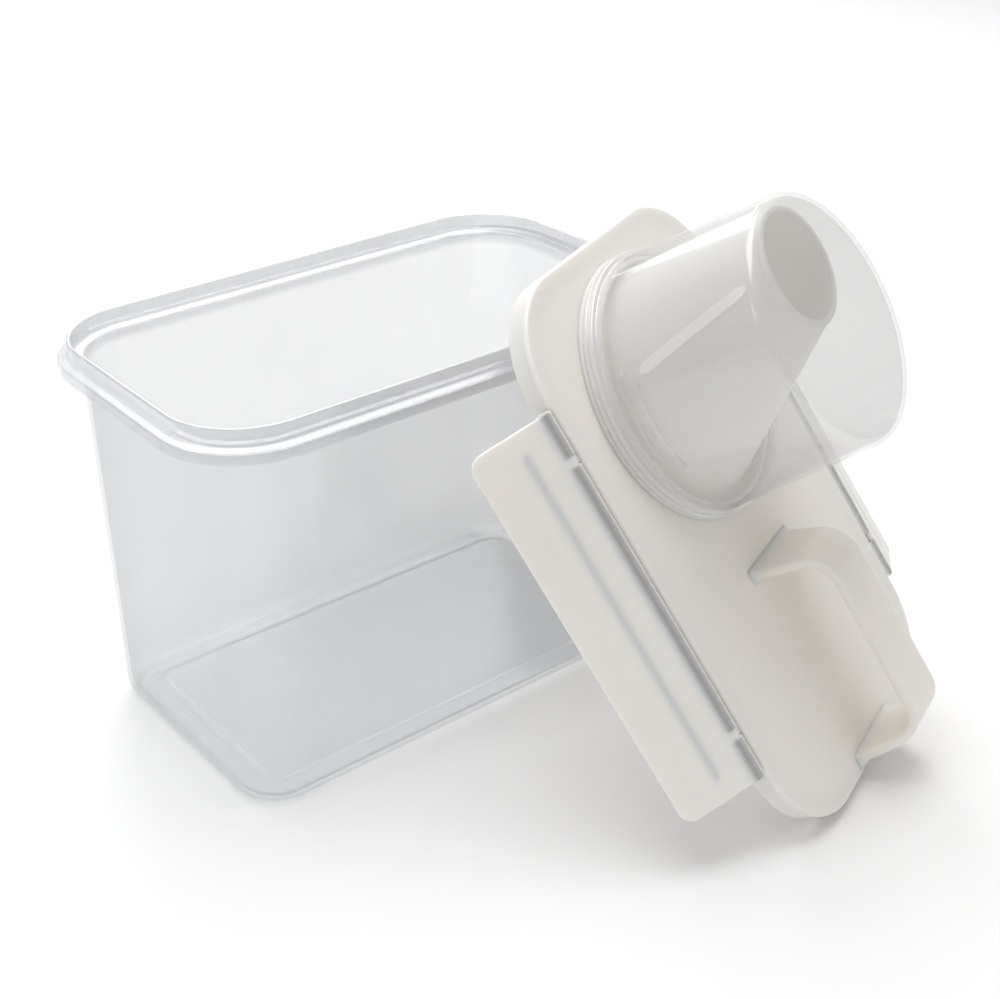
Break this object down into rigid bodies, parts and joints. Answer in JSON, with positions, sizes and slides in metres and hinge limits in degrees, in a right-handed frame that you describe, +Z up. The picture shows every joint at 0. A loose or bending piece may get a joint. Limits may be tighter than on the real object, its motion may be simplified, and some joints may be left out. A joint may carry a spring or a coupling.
{
  "type": "dry feed storage tub with pouring lid",
  "caption": "Clear rounded-rectangular feed tub, open, with its white lid leaning on the rim: leaning pouring spout under a clear measuring cup, strap handle and locking side flaps.",
  "frame": {"origin": "middle of the tub's underside, on the ground", "axes": "+Z up; +X along the tub's long side towards the end where the lid leans; the lid leans on the -Y long side"},
  "size_m": [0.306, 0.2799, 0.2274],
  "materials": {
    "clear_plastic": "clear polypropylene with a faint cool haze, smooth moulded walls",
    "white_plastic": "warm white polypropylene, fine satin moulded surface",
    "seal_rubber": "soft translucent white silicone",
    "pin_plastic": "hard white plastic rod",
    "cup_plastic": "milky translucent polypropylene, smooth"
  },
  "bodies": {
    "tub": {"tub": "clear_plastic"},
    "lid": {"lid_cover": "white_plastic", "lid_seal": "seal_rubber", "pouring_spout": "white_plastic", "handle": "white_plastic", "left_hinge_pins": "pin_plastic", "right_hinge_pins": "pin_plastic"},
    "left_flap": {"left_flap": "white_plastic"},
    "right_flap": {"right_flap": "white_plastic"},
    "cup": {"measuring_cup": "cup_plastic"}
  },
  "joints": [
    {"name": "lid_lift", "type": "slide", "parent": "tub", "child": "lid", "axis": [0.2928, -0.7806, 0.5522], "range_m": [0, 0.25]},
    {"name": "left_flap_hinge", "type": "hinge", "parent": "lid", "child": "left_flap", "pos_m": [0.00821, -0.15437, 0.0984], "axis": [-0.2339, 0.5015, 0.8329], "range_deg": [-47, 73]},
    {"name": "right_flap_hinge", "type": "hinge", "parent": "lid", "child": "right_flap", "pos_m": [0.14617, -0.09887, 0.10372], "axis": [0.2339, -0.5015, -0.8329], "range_deg": [-68, 52]},
    {"name": "cup_lift", "type": "slide", "parent": "lid", "child": "cup", "axis": [0.2928, -0.7806, 0.5522], "range_m": [0, 0.1]}
  ]
}
